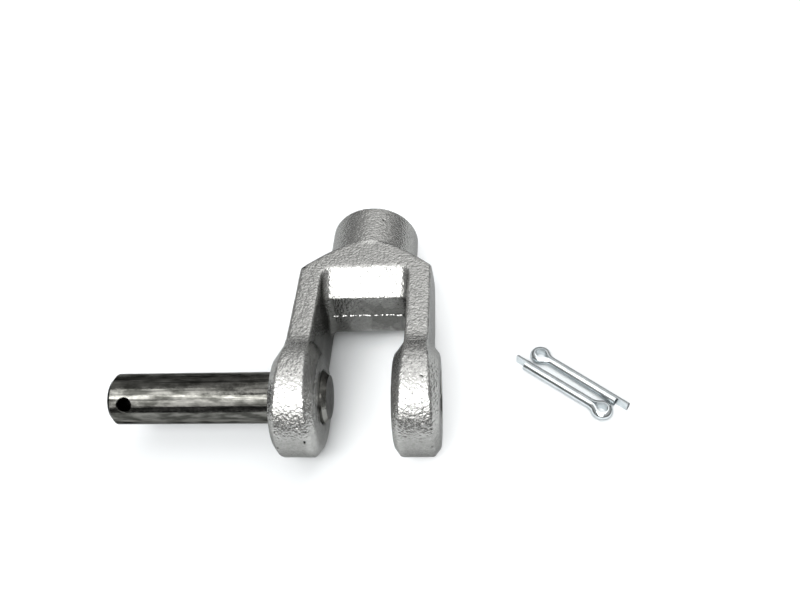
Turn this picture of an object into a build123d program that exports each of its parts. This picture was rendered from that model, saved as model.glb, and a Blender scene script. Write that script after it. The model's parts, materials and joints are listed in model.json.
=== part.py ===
from build123d import *
import os
from math import asin, atan2, degrees, hypot, radians, sqrt, tan

os.makedirs("parts", exist_ok=True)

# Clevis rod end: a one-piece forged fork, its cross pin and the two split pins that lock it.
# Origin: on the cross bore's axis, midway between the ears.
# +X runs along the cross bore, +Y towards the rod socket, +Z up from the surface it lies on.
# Lengths are millimetres and angles degrees.

# Split pins: half-round wire folded back on itself, with an eye at the fold
split_pin_dia = 3.5          # over both legs
split_pin_eye_width = 7.0
split_pin_eye_length = 8.0   # from the top of the eye to where the legs meet
split_pin_shank = 25.0       # from there to the end of the short leg
split_pin_long_leg = 4.0     # how much further the long leg reaches
split_pin_leg_gap = 0.2
# They lie side by side and head to tail. Where each eye's middle is, and the way the legs point:
split_pin_1_across = 58.5
split_pin_1_back = 28.2
split_pin_1_heading = -40.3
split_pin_2_across = 76.0
split_pin_2_back = 5.6
split_pin_2_heading = 140.7

# Cross pin: plain round bar, drilled near both ends
pin_dia = 16.0
pin_length = 68.6
pin_chamfer = 1.25
pin_hole_play = 0.5          # radial, round a split pin
pin_hole_inset = 5.75        # a hole's centre from the end of the pin
pin_hole_break = 0.25        # broken edge at each mouth of a hole
pin_entry = 1.9              # length that stands in the gap, inside the near ear
pin_turn = 40.8              # how far the holes point up from level, in front

# Ears: round ends whose flat faces stand proud, a little forward of the bore
gap_width = 22.2             # between the ears' inner faces
ear_thickness = 14.1
ear_radius = 18.3
ear_face_radius = 14.1
ear_face_forward = 1.7       # from the bore's axis to the middle of the flat face
ear_bevel_angle = 52.4       # between the bevel round the flat face and the bore's axis
ear_edge_break = 0.3         # chamfer round the rim and round each flat face
bore_clearance = 0.2         # radial, round the cross pin
bore_chamfer = 0.5

# Arms: drafted both ways from the parting plane, which holds the bore and the socket
arm_half_height = 15.4
arm_step_in = 3.3            # top inner edge, set back from the ear's inner face
arm_thickness = 7.7          # across the top
arm_outer_draft = 2.1
arm_inner_draft = 2.4
arm_edge_radius = 1.0        # long outer edges
gap_edge_break = 0.4         # chamfer where the gap opens through the arms' top and bottom
neck_radius = 14.0           # blend from an arm's top into the ear's rim
neck_edge_break = 0.6        # chamfer along the blend's outer edges

# Crotch: an upright wall at the parting plane, bevelled back above and below
crotch_wall = 34.6           # from the bore's axis
crotch_wall_half_height = 8.2
crotch_bevel_depth = 8.3
crotch_corner_radius = 2.8
crotch_lip_corner_radius = 3.4

# Shoulders and boss: a cone about the rod's axis, cut by the arms' flat sides
boss_dia = 31.6
boss_end = 73.9              # from the bore's axis
boss_start = 55.2
boss_edge_chamfer = 0.8
shoulder_angle = 41.1        # between the cone's side and the rod's axis

# Rod socket: blind hole, drilled for an M16 x 2 thread
socket_bore = 14.0
socket_thread = 16.0
socket_depth = 30.0
drill_point_angle = 118.0

pin_radius = pin_dia / 2
pin_hole_radius = split_pin_dia / 2 + pin_hole_play
bore_radius = pin_radius + bore_clearance
ear_inner = gap_width / 2
ear_outer = ear_inner + ear_thickness
arm_inner_top = ear_inner + arm_step_in
arm_outer_top = arm_inner_top + arm_thickness
boss_radius = boss_dia / 2
leg_offset = split_pin_leg_gap / 2
wire_radius = split_pin_dia / 2 - leg_offset
overcut = 2.0                # how far a cutting solid runs past the metal
tolerance = 0.001

# The fork lies on its ears' rims and the edge of its boss, so its rod end is a little low
rest_span = boss_end - boss_edge_chamfer
rest_tilt = degrees(asin(ear_radius / hypot(rest_span, boss_radius)) - atan2(boss_radius, rest_span))


def outline(*points):
    return make_face(Polyline(*points, close=True))


def both_ways(half, plane):
    return half + mirror(half, about=plane)


def half_width(at_top, draft, height):
    """How far from the middle a drafted side stands, at a height off the parting plane."""
    return at_top + (arm_half_height - height) * tan(radians(draft))


def ear():
    """The right ear: a round rim, bevelled each way down to a flat face a little forward of its middle."""
    half = ear_thickness / 2
    ridge = ear_face_radius + half * tan(radians(ear_bevel_angle))
    middle = ear_inner + half
    profile = outline(
        (ear_inner, 0), (ear_inner, ear_face_radius), (middle, ridge), (ear_outer, ear_face_radius),
        (ear_outer, 0),
    )
    bevelled = Pos(0, -ear_face_forward, 0) * revolve(profile, Axis.X)
    solid = bevelled & extrude(Plane.YZ.offset(ear_inner) * Circle(ear_radius), ear_thickness)
    nearly_full_turn = 6      # radians, so that only the edges that go all the way round are broken
    rims = [edge for edge in solid.edges() if edge.length > nearly_full_turn * ear_face_radius]
    return chamfer(rims, ear_edge_break)


def neck():
    """Plate on the right arm's line that carries its top and bottom up to the ear's rim."""
    centres = ear_radius + neck_radius
    tangent = ear_radius * sqrt(centres**2 - (arm_half_height + neck_radius) ** 2) / centres
    root = (crotch_wall + ear_radius) / 2
    side = Circle(ear_radius) + Pos(root / 2, 0) * Rectangle(root, 2 * arm_half_height)
    corners = side.vertices().filter_by(lambda v: 0 < v.X < root)
    side = fillet(corners, neck_radius) & Pos(tangent + root / 2, 0) * Rectangle(root, 2 * ear_radius)
    plate = Pos(arm_inner_top, 0, 0) * extrude(Plane.YZ * side, arm_thickness)
    plate = chamfer(plate.edges().group_by(Axis.X)[0], gap_edge_break)
    return chamfer(plate.edges().group_by(Axis.X)[-1], neck_edge_break)


def arms_block():
    """Both arms and the web between them before the gap is cut: six-sided, with rounded long edges."""
    parting = half_width(arm_outer_top, arm_outer_draft, 0)
    section = outline(
        (-arm_outer_top, arm_half_height), (arm_outer_top, arm_half_height), (parting, 0),
        (arm_outer_top, -arm_half_height), (-arm_outer_top, -arm_half_height), (-parting, 0),
    )
    corners = section.vertices().filter_by(lambda v: abs(v.Y) > arm_half_height / 2)
    return extrude(Plane.XZ * fillet(corners, arm_edge_radius), -boss_start)


def shoulder_cone():
    """Cone down to the boss about the rod's axis, wide enough in front to hold the whole of the arms."""
    arms_radius = hypot(half_width(arm_outer_top, arm_outer_draft, 0), arm_half_height)
    cone_start = boss_start - (arms_radius - boss_radius) / tan(radians(shoulder_angle))
    section = outline(
        (0, 0), (arms_radius, 0), (arms_radius, cone_start), (boss_radius, boss_start), (0, boss_start),
    )
    return revolve(section, Axis.Y)


def boss():
    section = outline((0, boss_start), (boss_radius, boss_start), (boss_radius, boss_end), (0, boss_end))
    edge = section.vertices().sort_by(lambda v: v.X + v.Y)[-1]
    return revolve(chamfer(edge, boss_edge_chamfer), Axis.Y)


def gap_plan(height):
    """Plan of the gap at a height off the parting plane."""
    bevel_share = (height - crotch_wall_half_height) / (arm_half_height - crotch_wall_half_height)
    bevel_share = max(bevel_share, 0)
    far = crotch_wall + bevel_share * crotch_bevel_depth
    near = -ear_radius
    half = half_width(arm_inner_top, -arm_inner_draft, height)
    corner = crotch_corner_radius + bevel_share * (crotch_lip_corner_radius - crotch_corner_radius)
    plan = Pos(0, (far + near) / 2) * Rectangle(2 * half, far - near)
    corners = plan.vertices().filter_by(lambda v: v.Y > 0)
    return Pos(0, 0, height) * fillet(corners, corner)


def gap():
    wall = loft([gap_plan(0), gap_plan(crotch_wall_half_height)], ruled=True)
    bevel = loft([gap_plan(crotch_wall_half_height), gap_plan(arm_half_height + overcut)], ruled=True)
    return both_ways(wall + bevel, Plane.XY)


def on_gap_mouth(edge):
    """Whether an edge bounds the gap where it opens through the arms' top or bottom."""
    middle = edge.center()
    on_top_or_bottom = abs(abs(middle.Z) - arm_half_height) < tolerance
    beside_gap = abs(middle.X) < arm_inner_top + tolerance
    behind_front = tolerance < middle.Y < crotch_wall + crotch_bevel_depth + tolerance
    return on_top_or_bottom and beside_gap and behind_front


def bore():
    """The cross bore's full length through both ears, with a chamfer at each of its four mouths."""
    mouth = bore_radius + bore_chamfer
    section = outline(
        (0, 0), (0, mouth), (ear_inner, mouth), (ear_inner + bore_chamfer, bore_radius),
        (ear_outer - bore_chamfer, bore_radius), (ear_outer, mouth), (ear_outer + overcut, mouth),
        (ear_outer + overcut, 0),
    )
    return both_ways(revolve(section, Axis.X), Plane.YZ)


def socket():
    """The blind rod socket, chamfered at its mouth to the thread's diameter."""
    bore_r = socket_bore / 2
    mouth_r = socket_thread / 2
    floor = boss_end - socket_depth
    tip = floor - bore_r / tan(radians(drill_point_angle / 2))
    section = outline(
        (0, tip), (bore_r, floor), (bore_r, boss_end - (mouth_r - bore_r)),
        (mouth_r, boss_end), (mouth_r, boss_end + overcut), (0, boss_end + overcut),
    )
    return revolve(section, Axis.Y)


def fork():
    """The fork, level: its parting plane flat."""
    body = (arms_block() & shoulder_cone()) - gap()
    body = chamfer(body.edges().filter_by(on_gap_mouth), gap_edge_break)
    body += both_ways(ear() + neck(), Plane.YZ)
    body += boss()
    return body - bore() - socket()


def cross_pin():
    """The cross pin, from its inner end in the gap out through the left ear."""
    inner_end = pin_entry - ear_inner
    middle = inner_end - pin_length / 2
    bar = Pos(middle, 0, 0) * Rot(Y=90) * Cylinder(pin_radius, pin_length)
    bar = chamfer(bar.edges().filter_by(GeomType.CIRCLE), pin_chamfer)
    for x in (inner_end - pin_hole_inset, inner_end - pin_length + pin_hole_inset):
        bar -= Pos(x, 0, 0) * Rot(X=90 - pin_turn) * Cylinder(pin_hole_radius, pin_dia + overcut)
    mouths = bar.edges().filter_by(lambda e: e.geom_type not in (GeomType.CIRCLE, GeomType.LINE))
    return chamfer(mouths, pin_hole_break)


def half_round(side):
    """Section of the wire: its flat through the middle, its round side the way given."""
    return Circle(wire_radius) & Pos(side * wire_radius / 2, 0) * Rectangle(wire_radius, 2 * wire_radius)


def split_pin():
    """A split pin flat in the XY plane: eye about the origin, legs along +X, the long one on the left."""
    eye_radius = split_pin_eye_width / 2 - wire_radius
    neck_end = split_pin_eye_length - split_pin_eye_width / 2
    bend_radius = (neck_end**2 + leg_offset**2 - eye_radius**2) / (2 * (eye_radius - leg_offset))
    bend_middle = bend_radius + leg_offset
    opening = degrees(atan2(bend_middle, neck_end))

    eye = revolve(Plane.XZ * Pos(eye_radius, 0) * half_round(1), Axis.Z, 360 - 2 * opening)
    eye = Rot(Z=opening) * eye
    bend = revolve(Plane.XZ * Pos(bend_radius, 0) * half_round(-1), Axis.Z, 90 - opening)
    bend = Pos(neck_end, bend_middle, 0) * Rot(Z=180 + opening) * bend
    leg = extrude(Plane.YZ * half_round(1), split_pin_shank)
    long_leg = extrude(Plane.YZ * half_round(1), split_pin_shank + split_pin_long_leg)
    short_side = bend + Pos(neck_end, leg_offset, 0) * leg
    long_side = bend + Pos(neck_end, leg_offset, 0) * long_leg
    return eye + long_side + mirror(short_side, about=Plane.XZ)


export_step(Rot(X=-rest_tilt) * fork(), "parts/clevis_yoke.step")
export_step(cross_pin(), "parts/clevis_pin.step")

lying_height = wire_radius - ear_radius
first_place = Pos(split_pin_1_across, split_pin_1_back, lying_height) * Rot(Z=split_pin_1_heading)
second_place = Pos(split_pin_2_across, split_pin_2_back, lying_height) * Rot(Z=split_pin_2_heading)
rolled_over = Rot(X=180)
export_step(first_place * split_pin(), "parts/split_pin_1.step")
export_step(second_place * rolled_over * split_pin(), "parts/split_pin_2.step")
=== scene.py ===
import bmesh
import bpy
import json
import math
from contextlib import contextmanager
from mathutils import Matrix, Vector, noise
from mathutils.bvhtree import BVHTree

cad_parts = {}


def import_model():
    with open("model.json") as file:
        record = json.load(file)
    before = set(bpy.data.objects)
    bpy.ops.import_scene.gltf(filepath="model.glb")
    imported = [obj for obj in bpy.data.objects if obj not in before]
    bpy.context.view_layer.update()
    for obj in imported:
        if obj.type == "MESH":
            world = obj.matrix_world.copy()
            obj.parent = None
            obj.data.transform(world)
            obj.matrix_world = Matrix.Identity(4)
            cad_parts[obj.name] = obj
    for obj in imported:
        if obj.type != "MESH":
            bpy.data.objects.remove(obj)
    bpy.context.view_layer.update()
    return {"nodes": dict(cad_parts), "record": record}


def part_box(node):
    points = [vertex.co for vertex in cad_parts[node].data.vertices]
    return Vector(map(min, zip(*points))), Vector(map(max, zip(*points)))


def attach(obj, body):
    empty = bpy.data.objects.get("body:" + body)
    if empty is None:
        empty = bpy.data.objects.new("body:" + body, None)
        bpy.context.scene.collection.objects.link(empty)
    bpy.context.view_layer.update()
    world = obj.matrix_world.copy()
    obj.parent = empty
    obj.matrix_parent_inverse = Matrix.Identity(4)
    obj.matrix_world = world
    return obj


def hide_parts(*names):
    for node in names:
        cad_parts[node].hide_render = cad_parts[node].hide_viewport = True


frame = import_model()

# A forged clevis rod end lying on a pale floor, its cross pin drawn half out and its two split pins
# beside it. Lengths are metres. The fork's own level frame has its parting plane flat: the fork is
# turned from it by the small tilt at which it rests.

mm = 0.001
mounts = {mount["name"]: mount for mount in frame["record"]["mounts"]}
rod_axis = Vector(mounts["rod_socket"]["axis"])
rest_tilt = -math.asin(rod_axis.z)
to_level = Matrix.Rotation(rest_tilt, 4, "X")
from_level = to_level.inverted()

fork_low, fork_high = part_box("clevis_yoke")
floor_height = fork_low.z
bore_radius = mounts["pin_bore"]["dims"]["r_mm"] * mm
bore_chamfer = 0.5 * mm
ear_radius = -floor_height
ear_outer = fork_high.x
ear_thickness = mounts["pin_bore"]["dims"]["length_mm"] * mm + 2 * bore_chamfer
ear_inner = ear_outer - ear_thickness
ear_middle = (ear_inner + ear_outer) / 2
ear_face_radius = 14.1 * mm
ear_face_forward = 1.7 * mm
ear_bevel_angle = math.radians(52.4)
crotch_wall = 34.6 * mm
shoulder_angle = math.radians(41.1)
boss_radius = 15.8 * mm
boss_start = 55.2 * mm
boss_end = (to_level @ Vector(mounts["nut_seat"]["pos_m"])).y
socket_radius = mounts["rod_socket"]["dims"]["r_mm"] * mm
thread_radius = 8.0 * mm
thread_pitch = 2.0 * mm
thread_length = 26.0 * mm
pin_low, pin_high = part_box("clevis_pin")
pin_radius = 8.0 * mm
pin_chamfer = 1.3 * mm


# ---- Finishes ----

def colour(red, green, blue):
    return (red, green, blue, 1)


def grey(level):
    return colour(level, level, level)


white = grey(1)
# Near black, painted in for the shade in pits and holes, and on the pin's outer chamfer.
painted_black = colour(0.012, 0.012, 0.011)


class Finish:
    """A material, or the world, in the making. Most methods add a node and give what comes out of it."""

    def __init__(self, owner, shader):
        owner.use_nodes = True
        self.owner = owner
        self.nodes = owner.node_tree.nodes
        self.links = owner.node_tree.links
        self.shader = self.nodes[shader]

    def feed(self, socket, value):
        """Gives an input a plain value, or what comes out of another node."""
        if isinstance(value, bpy.types.NodeSocket):
            self.links.new(value, socket)
        else:
            socket.default_value = value

    def finished(self, inputs):
        """Feeds the shader's inputs and gives the finished material."""
        for name, value in inputs.items():
            self.feed(self.shader.inputs[name], value)
        return self.owner

    def given(self, kind, output):
        """What comes out of a node that needs nothing put in."""
        return self.nodes.new(kind).outputs[output]

    def noted(self, name):
        """The number of this name that is noted on the piece's vertices."""
        attribute = self.nodes.new("ShaderNodeAttribute")
        attribute.attribute_name = name
        return attribute.outputs["Fac"]

    def position(self, scale=(1, 1, 1)):
        """The position on the object. A scale under 1 draws a pattern out along its axis, and 0 leaves the
        axis out."""
        mapping = self.nodes.new("ShaderNodeMapping")
        mapping.inputs["Scale"].default_value = scale
        self.links.new(self.given("ShaderNodeTexCoord", "Object"), mapping.inputs["Vector"])
        return mapping.outputs["Vector"]

    def axes(self, position):
        """A position's three numbers, under the names X, Y and Z."""
        split = self.nodes.new("ShaderNodeSeparateXYZ")
        self.links.new(position, split.inputs["Vector"])
        return split.outputs

    def distance(self, position, place):
        """How far a position lies from a fixed place."""
        node = self.nodes.new("ShaderNodeVectorMath")
        node.operation = "DISTANCE"
        self.links.new(position, node.inputs[0])
        node.inputs[1].default_value = place
        return node.outputs["Value"]

    def grain(self, position, size, detail=2):
        """Noise, from 0 to 1, whose features are about size metres across."""
        texture = self.nodes.new("ShaderNodeTexNoise")
        texture.inputs["Scale"].default_value = 1 / size
        texture.inputs["Detail"].default_value = detail
        self.links.new(position, texture.inputs["Vector"])
        return texture.outputs["Fac"]

    def fade(self, value, stops):
        """A number that goes evenly from one stop to the other and stays there. A stop is a value, and the
        level that goes with it."""
        (start, start_level), (end, end_level) = stops.items()
        node = self.nodes.new("ShaderNodeMapRange")
        node.inputs["From Min"].default_value = start
        node.inputs["From Max"].default_value = end
        node.inputs["To Min"].default_value = start_level
        node.inputs["To Max"].default_value = end_level
        self.links.new(value, node.inputs["Value"])
        return node.outputs["Result"]

    def shades(self, value, stops):
        """A colour that goes evenly from one stop to the other and stays there. A stop is a value, and the
        colour that goes with it."""
        band = self.nodes.new("ShaderNodeValToRGB")
        for element, (position, shade) in zip(band.color_ramp.elements, stops.items()):
            element.position = position
            element.color = shade
        self.links.new(value, band.inputs["Fac"])
        return band.outputs["Color"]

    def mixed(self, share, first, second, blend="MIX"):
        """The first colour, turned by the share towards the second, or by MULTIPLY towards their product."""
        mix = self.nodes.new("ShaderNodeMix")
        mix.data_type = "RGBA"
        mix.blend_type = blend
        self.feed(mix.inputs["Factor"], share)
        self.feed(mix.inputs["A"], first)
        self.feed(mix.inputs["B"], second)
        return mix.outputs["Result"]

    def calculated(self, operation, *numbers):
        """What a sum of this kind makes of one number or two."""
        node = self.nodes.new("ShaderNodeMath")
        node.operation = operation
        for number, socket in zip(numbers, node.inputs):
            self.links.new(number, socket)
        return node.outputs["Value"]

    def product(self, first, *others):
        for other in others:
            first = self.calculated("MULTIPLY", first, other)
        return first

    def bump(self, height, depth, over=None):
        """Bumps of this depth, laid over the bumps that are given."""
        node = self.nodes.new("ShaderNodeBump")
        node.inputs["Distance"].default_value = depth
        self.links.new(height, node.inputs["Height"])
        if over is not None:
            self.links.new(over, node.inputs["Normal"])
        return node.outputs["Normal"]


def new_material(name):
    return Finish(bpy.data.materials.new(name), "Principled BSDF")


def zinc_forging():
    """Forged steel under a thin silver-grey zinc coat. It is grainy, but less so where it is cut. Painted
    shade darkens its colour where it is enclosed, in its bores and low on the ears' noses, and paints its
    pits black."""
    dark_coat, light_coat = colour(0.41, 0.410, 0.397), colour(0.52, 0.520, 0.504)
    painted_shade_coat = colour(0.10, 0.10, 0.093)
    zinc = new_material("zinc_forging")
    where = zinc.position()
    axes = zinc.axes(where)
    painted_shade = zinc.noted("painted_shade")

    coat = zinc.shades(zinc.grain(where, size=1.0 * mm), {0.35: dark_coat, 0.65: light_coat})
    # Painted shade: the coat turns towards a dark grey where the fork encloses itself.
    enclosure_shade = zinc.fade(painted_shade, {0.28: 0, 0.54: 0.85})
    # Painted shade: the ears' noses darken towards their lower fronts, by up to a third.
    nose_low_shade = zinc.product(
        zinc.fade(axes["Y"], {-6 * mm: 0, -12 * mm: 1}),
        zinc.fade(zinc.calculated("ABSOLUTE", axes["X"]), {13 * mm: 0, 15 * mm: 1}),
        zinc.fade(axes["Z"], {8 * mm: 0, 3 * mm: 0.34}),
    )
    shaded_coat = zinc.mixed(zinc.calculated("MAXIMUM", enclosure_shade, nose_low_shade), coat, painted_shade_coat)
    # Painted shade: the pits are painted black.
    pit_shade = zinc.fade(painted_shade, {1.2: 0, 1.8: 1})

    roughness = zinc.shades(zinc.grain(where, size=0.6 * mm), {0.3: grey(0.15), 0.7: grey(0.26)})
    uncut = zinc.fade(zinc.noted("smooth_cut"), {0: 1, 1: 0.25})
    peel = zinc.product(zinc.grain(where, size=0.85 * mm, detail=1), uncut)
    grit = zinc.product(zinc.grain(where, size=0.45 * mm), uncut)
    return zinc.finished({
        "Base Color": zinc.mixed(pit_shade, shaded_coat, painted_black),
        "Metallic": 0.85,
        "Roughness": roughness,
        "Specular Tint": grey(0.35),
        "Normal": zinc.bump(grit, depth=0.08 * mm, over=zinc.bump(peel, depth=0.25 * mm)),
    })


def drawn_steel():
    """Bare dark bar steel, stained, with drawing lines along it. Shade is painted black into its holes, its
    outer end's chamfer is painted black too, and it is paler round its inner end."""
    dark_stain, light_stain = colour(0.060, 0.060, 0.054), colour(0.190, 0.188, 0.174)
    paler_end_colour = colour(0.28, 0.277, 0.26)
    steel = new_material("drawn_steel")
    where = steel.position()
    along = steel.axes(where)["X"]
    from_axis = steel.distance(steel.position(scale=(0, 1, 1)), (0, 0, 0))

    stains = steel.grain(steel.position(scale=(0.3, 1, 1)), size=1.8 * mm, detail=4)
    lines = steel.grain(steel.position(scale=(0.02, 1, 1)), size=0.9 * mm)
    bar = steel.mixed(
        1, steel.shades(stains, {0.38: dark_stain, 0.62: light_stain}),
        steel.shades(lines, {0.36: grey(0.35), 0.50: white}), blend="MULTIPLY",
    )
    # The bar is paler round its inner end, short of its end face.
    paler_end_band = steel.product(
        steel.fade(along, {pin_high.x - 7 * mm: 0, pin_high.x - 4 * mm: 0.9}),
        steel.fade(along, {pin_high.x - 0.05 * mm: 0, pin_high.x - 0.15 * mm: 1}),
    )
    inner_chamfer = pin_high.x - pin_chamfer
    # Painted shade: the holes are black, and so is the outer end's chamfer.
    hole_shade_and_chamfer_black = steel.product(
        steel.fade(from_axis, {pin_radius - 0.1 * mm: 0, pin_radius - 0.4 * mm: 1}),
        steel.fade(along, {inner_chamfer: 0, inner_chamfer - 0.1 * mm: 1}),
        steel.fade(along, {pin_low.x + 0.05 * mm: 0, pin_low.x + 0.15 * mm: 1}),
    )

    patches = steel.grain(where, size=1.2 * mm, detail=3)
    waves = steel.grain(where, size=1.4 * mm)
    return steel.finished({
        "Base Color": steel.mixed(hole_shade_and_chamfer_black, steel.mixed(paler_end_band, bar, paler_end_colour), painted_black),
        "Metallic": 0.95,
        "Roughness": steel.shades(patches, {0.35: grey(0.08), 0.65: grey(0.22)}),
        "Specular Tint": grey(0.35),
        "Normal": steel.bump(waves, depth=0.02 * mm, over=steel.bump(lines, depth=0.03 * mm)),
    })


def plated_wire():
    """Bright zinc plate on the split pins' wire, slightly blue."""
    dark_plate, light_plate = colour(0.60, 0.64, 0.655), colour(0.74, 0.78, 0.795)
    plate = new_material("plated_wire")
    where = plate.position()
    clouds = plate.grain(where, size=2.0 * mm, detail=3)
    patches = plate.grain(where, size=0.6 * mm)
    ripples = plate.grain(where, size=0.8 * mm)
    return plate.finished({
        "Base Color": plate.shades(clouds, {0.35: dark_plate, 0.65: light_plate}),
        "Metallic": 0.97,
        "Roughness": plate.shades(patches, {0.3: grey(0.06), 0.7: grey(0.14)}),
        "Specular Tint": grey(0.12),
        "Normal": plate.bump(ripples, depth=0.01 * mm),
    })


# ---- Meshes ----

same_place = 0.001 * mm      # corners nearer than this are merged


def in_scene(name, data):
    """A new object with this data, placed in the scene."""
    thing = bpy.data.objects.new(name, data)
    bpy.context.scene.collection.objects.link(thing)
    return thing


def new_piece(mesh, name):
    """An object from an edit mesh, which it uses up."""
    data = bpy.data.meshes.new(name)
    mesh.to_mesh(data)
    mesh.free()
    return in_scene(name, data)


@contextmanager
def edited(piece):
    """Opens a piece's mesh as an edit mesh, and puts it back afterwards."""
    mesh = bmesh.new()
    mesh.from_mesh(piece.data)
    yield mesh
    mesh.to_mesh(piece.data)
    mesh.free()


def merged_copy(node, name):
    """A new piece in a node's shape, with its loose triangles joined and their stored normals dropped."""
    mesh = bmesh.new()
    mesh.from_mesh(node.data)
    bmesh.ops.remove_doubles(mesh, verts=mesh.verts, dist=same_place)
    piece = new_piece(mesh, name)
    stored_normals = piece.data.attributes.get("custom_normal")
    if stored_normals is not None:
        piece.data.attributes.remove(stored_normals)
    return piece


def apply_modifiers(piece):
    """Makes the mesh that a piece's modifiers show its own."""
    shown = piece.evaluated_get(bpy.context.evaluated_depsgraph_get())
    done = bpy.data.meshes.new_from_object(shown)
    old = piece.data
    piece.modifiers.clear()
    piece.data = done
    bpy.data.meshes.remove(old)


def cut_away(piece, tool):
    """Cuts a tool's shape out of a piece, and puts the tool away."""
    cut = piece.modifiers.new("cut", "BOOLEAN")
    cut.operation = "DIFFERENCE"
    cut.solver = "MANIFOLD"
    cut.object = tool
    apply_modifiers(piece)
    bpy.data.objects.remove(tool)


def refine(mesh, wanted, cuts):
    """Divides the faces all of whose corners are wanted."""
    faces = [face for face in mesh.faces if all(wanted(corner.co) for corner in face.verts)]
    edges = {edge for face in faces for edge in face.edges}
    bmesh.ops.subdivide_edges(mesh, edges=list(edges), cuts=cuts, use_grid_fill=True)


# ---- The forging's surface, at points of the level fork ----

facet_error = 0.2 * mm       # how far the even mesh may stray from the true surface
cut_ring = 10.4 * mm         # the ears are cut smooth this near to the bores' axis
cut_edge = 0.3 * mm          # and so is what lies this near to the thread and the boss's end

# The forging is uneven, in wide swells and small dimples.
swell_height, swell_size = 0.05 * mm, 7 * mm
dimple_height, dimple_size = 0.02 * mm, 1.5 * mm

# Where the dies met, a flash line is left on the crotch's wall: ragged, and wandering up and down.
flash_height, flash_thickness = 0.50 * mm, 0.25 * mm
flash_mean, flash_swing = 0.6, 0.9     # shares of its height
flash_wander = 0.35 * mm
ragged_size, wander_size = 0.9 * mm, 3 * mm
ragged_row, wander_row = 3.7, 8.1      # of the noise, far enough apart to look unrelated
flash_half_length = 13.5 * mm
flash_zone_height, flash_zone_depth = 1.5 * mm, 0.5 * mm
flash_crest = 0.15 * mm                # what stands higher is kept clear of the painted shade

# As shares of its radius, a pit is painted black for its shade to the first, has a fine mesh to the second,
# and its slope ends at the third.
pit_shade_share, pit_mesh, pit_slope = 0.8, 2.5, 3
pits = [                     # each one's place, radius and depth; the last is a nick
    (Vector(place) * mm, radius * mm, depth * mm) for place, radius, depth in (
        ((4.55, 67.27, 15.13), 0.45, 0.35),
        ((-15.94, -16.61, 7.68), 0.45, 0.35),
        ((-14.32, -18.14, 2.33), 0.5, 0.3),
        ((-22.88, -18.28, -0.54), 0.4, 0.3),
        ((22.84, -18.30, -0.23), 0.45, 0.35),
        ((20.33, -5.82, 17.35), 0.35, 0.25),
        ((-21.00, 42.95, 15.30), 0.75, 0.15),
    )
]


def round_about(point, middle, radius):
    """Moves a point in a plane onto a circle, if it lies within the mesh's error of it. Past half the
    error it moves only part of the way."""
    offset = point - middle
    error = radius - offset.length
    share = min(1.0, max(0.0, 2 - 2 * abs(error) / facet_error))
    return point + offset * (share * error / offset.length)


def trued(point):
    """A point moved from the facets onto the round surface it belongs to."""
    x, y, z = point
    across = abs(x)
    side = Vector((y, z))
    if ear_inner <= across <= ear_outer and side.length < ear_radius + facet_error:
        depth = min(across - ear_inner, ear_outer - across)
        bevel_radius = ear_face_radius + depth * math.tan(ear_bevel_angle)
        side = round_about(side, Vector((-ear_face_forward, 0)), bevel_radius)
        side = round_about(side, Vector((0, 0)), ear_radius)
        return Vector((x, side.x, side.y))
    cone_radius = boss_radius + max(0, boss_start - y) * math.tan(shoulder_angle)
    end = round_about(Vector((x, z)), Vector((0, 0)), cone_radius)
    return Vector((end.x, y, end.y))


def machined(point):
    """Whether a point lies on a cut surface: round a bore, in the socket or on the boss's end."""
    by_bore = math.hypot(point.y, point.z) < cut_ring
    behind_wall = point.y > crotch_wall + cut_edge
    in_socket = behind_wall and math.hypot(point.x, point.z) < thread_radius + cut_edge
    return by_bore or in_socket or point.y > boss_end - cut_edge


def by_pit(point, share):
    """Whether a point lies within this share of a pit's radius from its middle."""
    return any((point - place).length < share * radius for place, radius, depth in pits)


def by_flash_line(point):
    """Whether a point lies in the narrow zone of the crotch's wall that the flash line keeps to."""
    on_wall = abs(point.y - crotch_wall) < flash_zone_depth
    return on_wall and abs(point.x) < flash_half_length and abs(point.z) < flash_zone_height


def flash_line(point):
    """How far the flash line stands proud."""
    if not by_flash_line(point):
        return 0
    ragged = noise.noise(Vector((point.x / ragged_size, ragged_row, 0)))
    height = flash_height * (flash_mean + flash_swing * ragged)
    middle = flash_wander * noise.noise(Vector((point.x / wander_size, wander_row, 0)))
    return height * math.exp(-(((point.z - middle) / flash_thickness) ** 2))


def forging_relief(point):
    """How far the forging's surface stands proud."""
    if machined(point):
        return 0
    swell = swell_height * noise.noise(point / swell_size)
    dimple = dimple_height * noise.noise(point / dimple_size)
    dent = sum(
        depth * math.exp(-(((point - place).length / radius) ** 2))
        for place, radius, depth in pits if (point - place).length < pit_slope * radius
    )
    return swell + dimple + flash_line(point) - dent


# ---- The fork ----

skin_step = 0.46 * mm        # spacing of the forging's mesh
plug_radius = 9.2 * mm       # of what fills the bores while the skin is made
plug_sides = 96
bore_sides = 128
softening_turns = 3          # each one rounds the edges a little more
outlook_rays = 64            # followed from each vertex, to see how enclosed it is
sharp_edge = math.radians(40)          # the shading breaks where faces turn by more than this


def plug_bores(fork):
    """Fills the ears' bores, which are drilled sharp again once the skin is made."""
    with edited(fork) as mesh:
        for side in (-1, 1):
            place = Matrix.Translation((side * ear_middle, 0, 0))
            bmesh.ops.create_cone(
                mesh, cap_ends=True, segments=plug_sides, radius1=plug_radius, radius2=plug_radius,
                depth=ear_thickness, matrix=place @ Matrix.Rotation(math.pi / 2, 4, "Y"),
            )


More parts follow.
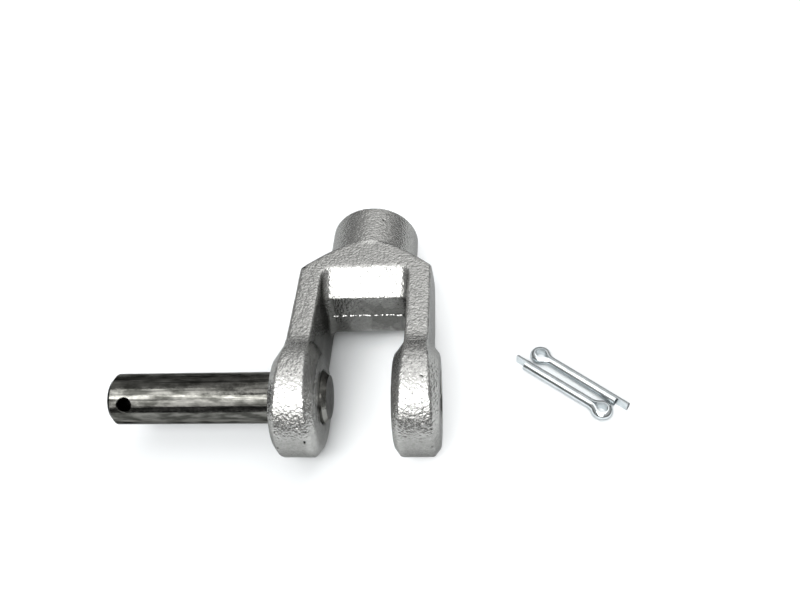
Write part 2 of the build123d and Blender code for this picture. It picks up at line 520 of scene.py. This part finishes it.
def forged_skin():
    """The fork with an even mesh, softened edges and the unevenness of a forging, inside its own box."""
    fork = merged_copy(frame["nodes"]["clevis_yoke"], "fork_forging")
    plug_bores(fork)
    even = fork.modifiers.new("even", "REMESH")
    even.mode = "VOXEL"
    even.voxel_size = skin_step
    apply_modifiers(fork)

    with edited(fork) as mesh:
        mesh.transform(to_level)
        for turn in range(softening_turns):
            bmesh.ops.smooth_vert(
                mesh, verts=mesh.verts, factor=0.5, use_axis_x=True, use_axis_y=True, use_axis_z=True
            )
        for vert in mesh.verts:
            vert.co = trued(vert.co)
        refine(mesh, by_flash_line, cuts=3)
        refine(mesh, lambda point: by_pit(point, pit_mesh), cuts=2)
        mesh.normal_update()
        for vert in mesh.verts:
            vert.co += vert.normal * forging_relief(vert.co)
        mesh.transform(from_level)
        for vert in mesh.verts:
            vert.co = [min(max(c, low), high) for c, low, high in zip(vert.co, fork_low, fork_high)]
    return fork


def drill_bores(fork):
    """Drills both ears' bores and breaks their edges."""
    over = 1 * mm            # how far the drill stands out of the ear
    flare = bore_radius + bore_chamfer
    for side in (-1, 1):
        near, far = sorted((side * ear_inner, side * ear_outer))
        profile = [
            (near - over, 0), (near - over, flare + over), (near, flare),
            (near + bore_chamfer, bore_radius), (far - bore_chamfer, bore_radius),
            (far, flare), (far + over, flare + over), (far + over, 0),
        ]
        drill = bmesh.new()
        points = [drill.verts.new((x, radius, 0)) for x, radius in profile]
        edges = [drill.edges.new(pair) for pair in zip(points, points[1:])]
        bmesh.ops.spin(
            drill, geom=points + edges, cent=(0, 0, 0), axis=(1, 0, 0), angle=math.tau,
            steps=bore_sides, use_merge=True, use_duplicate=False,
        )
        bmesh.ops.remove_doubles(drill, verts=drill.verts, dist=same_place)
        bmesh.ops.recalc_face_normals(drill, faces=drill.faces)
        cut_away(fork, new_piece(drill, "drill"))


def cut_thread(fork):
    """Cuts the socket's thread: one groove wound round the bore, and out past the boss's end."""
    steps = 40               # in each turn
    turns = thread_length / thread_pitch
    start = boss_end + thread_pitch - thread_length
    half_mouth, half_root = 0.95 * mm, 0.12 * mm
    mouth_radius = socket_radius - 0.2 * mm
    corners = [
        (mouth_radius, -half_mouth), (thread_radius, -half_root),
        (thread_radius, half_root), (mouth_radius, half_mouth),
    ]
    groove = bmesh.new()
    section = groove.faces.new([groove.verts.new((radius, start + y, 0)) for radius, y in corners])
    bmesh.ops.spin(
        groove, geom=[section, *section.edges, *section.verts], cent=(0, 0, 0), axis=(0, 1, 0),
        dvec=(0, thread_pitch / steps, 0), angle=turns * math.tau, steps=int(steps * turns),
        use_merge=False, use_duplicate=False,
    )
    bmesh.ops.recalc_face_normals(groove, faces=groove.faces)
    groove.transform(from_level)
    cut_away(fork, new_piece(groove, "tap"))


def outlook_directions():
    """Directions spread evenly all round, along a spiral from pole to pole."""
    golden_angle = math.pi * (3 - math.sqrt(5))
    directions = []
    for ray in range(outlook_rays):
        rise = 1 - (2 * ray + 1) / outlook_rays
        reach = math.sqrt(1 - rise * rise)
        turn = ray * golden_angle
        directions.append(Vector((reach * math.cos(turn), reach * math.sin(turn), rise)))
    return directions


def blocked_share(vert, fork_tree, directions):
    """What share of a vertex's outlook the fork itself blocks."""
    start = vert.co + vert.normal * skin_step
    seen = blocked = 0
    for direction in directions:
        facing = direction.dot(vert.normal)
        if facing > 0:
            seen += facing
            if fork_tree.ray_cast(start, direction)[0] is not None:
                blocked += facing
    return blocked / seen


def note_surface(fork):
    """Notes on each vertex how much shade to paint into its colour, from how enclosed it is, and whether it
    is cut, as smooth_cut. Painted shade of 0 is open, as the outer sides and the flash line's crest are, 1
    is enclosed, as the bores' walls are, and 2 marks a pit, painted black."""
    bore_edge = bore_radius + 0.6 * bore_chamfer
    with edited(fork) as mesh:
        mesh.transform(to_level)
        mesh.normal_update()
        fork_tree = BVHTree.FromBMesh(mesh)
        directions = outlook_directions()
        painted_shade = mesh.verts.layers.float.new("painted_shade")
        smooth_cut = mesh.verts.layers.float.new("smooth_cut")
        for vert in mesh.verts:
            point = vert.co
            if machined(point):
                vert[smooth_cut] = 1
            # Painted shade: a pit is painted black.
            if by_pit(point, pit_shade_share):
                vert[painted_shade] = 2
            elif flash_line(point) > flash_crest:
                vert[painted_shade] = 0
            # The bores' walls get the full painted shade.
            elif math.hypot(point.y, point.z) < bore_edge:
                vert[painted_shade] = 1
            # Elsewhere in the crotch the painted shade follows how much of the outlook the fork blocks.
            elif abs(point.x) < ear_middle and point.y < boss_start:
                vert[painted_shade] = blocked_share(vert, fork_tree, directions)
        mesh.transform(from_level)


fork = forged_skin()
drill_bores(fork)
cut_thread(fork)
note_surface(fork)
fork.data.shade_smooth()
fork.data.set_sharp_from_angle(angle=sharp_edge)
fork.data.materials.clear()
fork.data.materials.append(zinc_forging())
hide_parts("clevis_yoke")
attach(fork, "clevis")


# ---- The pins ----

wire_finish = plated_wire()
for name, finish in (
    ("clevis_pin", drawn_steel()), ("split_pin_1", wire_finish), ("split_pin_2", wire_finish),
):
    frame["nodes"][name].material_slots[0].material = finish


# ---- Floor, light and camera ----

floor_reach = 1.5            # from the floor's middle to its edges
floor_front = -0.125         # its front edge, before the ears
floor_gap = 0.02 * mm        # between the floor and what lies on it
under_web = (0, 52 * mm, floor_height)
lamp_distance = 3.0


def pale_floor():
    """A matt pale floor. To the camera it glows a little, painted light that lifts the shade to the right of
    the fork's gap, up to the split pins, but not under the web, where the shadow is deepest."""
    pale = new_material("pale_floor")
    where = pale.given("ShaderNodeTexCoord", "Object")
    across = pale.axes(where)["X"]
    # Painted light: a glow seen only by the camera, which lightens the floor's shadows, most to the right of
    # the gap.
    shade_lifting_glow = pale.product(
        pale.fade(across, {-10 * mm: 0.03, 20 * mm: 0.25}),
        pale.fade(across, {48 * mm: 0.10, 38 * mm: 1}),
        pale.fade(pale.distance(where, under_web), {11 * mm: 0, 20 * mm: 1}),
        pale.given("ShaderNodeLightPath", "Is Camera Ray"),
    )
    return pale.finished({
        "Base Color": colour(0.91, 0.93, 0.94),
        "Roughness": 0.8,
        "Specular IOR Level": 0.2,
        "Emission Color": white,
        "Emission Strength": shade_lifting_glow,
    })


def floor():
    """The plane that the part lies on."""
    mesh = bmesh.new()
    bmesh.ops.create_grid(mesh, x_segments=1, y_segments=1, size=floor_reach)
    place = (0, floor_front + floor_reach, floor_height - floor_gap)
    bmesh.ops.translate(mesh, verts=mesh.verts, vec=place)
    plane = new_piece(mesh, "floor")
    plane.data.materials.append(pale_floor())


def softbox(name, low, high, left, right, radiance):
    """A far lamp that glows evenly. Its edges are angles seen from the fork: low and high are measured
    up from the front horizon and on over the top, left and right from straight ahead."""
    low, high, left, right = (math.radians(angle) for angle in (low, high, left, right))
    width = lamp_distance * (math.tan(right) - math.tan(left))
    height = 2 * lamp_distance * math.tan((high - low) / 2)
    data = bpy.data.lights.new(name, "AREA")
    data.shape = "RECTANGLE"
    data.size = width
    data.size_y = height
    data.energy = radiance * math.pi * width * height
    lamp = in_scene(name, data)
    rise = (low + high) / 2
    away = Vector((0, -math.cos(rise), math.sin(rise)))
    across = lamp_distance * (math.tan(right) + math.tan(left)) / 2
    lamp.location = away * lamp_distance + Vector((across, 0, 0))
    lamp.rotation_euler = away.to_track_quat("Z", "Y").to_euler()


def world():
    """A grey room, dimmer near the floor, that the camera sees as white."""
    room = bpy.data.worlds.new("room")
    bpy.context.scene.world = room
    walls = Finish(room, "Background")
    height = walls.axes(walls.given("ShaderNodeTexCoord", "Generated"))["Z"]
    room_grey = walls.shades(height, {0.15: grey(0.08), 0.7: grey(0.42)})
    seen = walls.given("ShaderNodeLightPath", "Is Camera Ray")
    walls.finished({"Color": walls.mixed(seen, room_grey, white)})


def camera():
    """The viewpoint, set out from the level fork: in front, a little to its right, looking down."""
    yaw, pitch, roll = -0.128, 0.788, -0.112       # radians
    place = Vector((33.57, -137.46, 181.48)) * mm
    forward = Vector((
        math.sin(yaw) * math.cos(pitch), math.cos(yaw) * math.cos(pitch), -math.sin(pitch)
    ))
    level_right = Vector((math.cos(yaw), -math.sin(yaw), 0))
    level_up = level_right.cross(forward)
    right = level_right * math.cos(roll) + level_up * math.sin(roll)
    up = right.cross(forward)
    pose = Matrix((right, up, -forward)).transposed().to_4x4()
    pose.translation = place
    data = bpy.data.cameras.new("camera")
    data.lens = 33.2
    data.sensor_width = 36
    data.clip_start = 0.01
    data.clip_end = 20
    eye = in_scene("camera", data)
    eye.matrix_world = from_level @ pose
    bpy.context.scene.camera = eye


floor()
softbox("front_core", low=51, high=67, left=-30, right=8, radiance=8.5)
softbox("front_middle", low=38, high=51, left=-30, right=8, radiance=3.4)
softbox("front_low", low=18, high=38, left=-30, right=8, radiance=2.0)
softbox("left_top", low=67, high=99, left=-30, right=-20, radiance=3.2)
softbox("back_left", low=72, high=128, left=-18, right=-9, radiance=1.0)
softbox("back_right", low=72, high=128, left=-9, right=26, radiance=1.25)
softbox("back_low", low=128, high=155, left=-16, right=34, radiance=0.5)
world()
camera()
bpy.context.scene.view_settings.view_transform = "Standard"
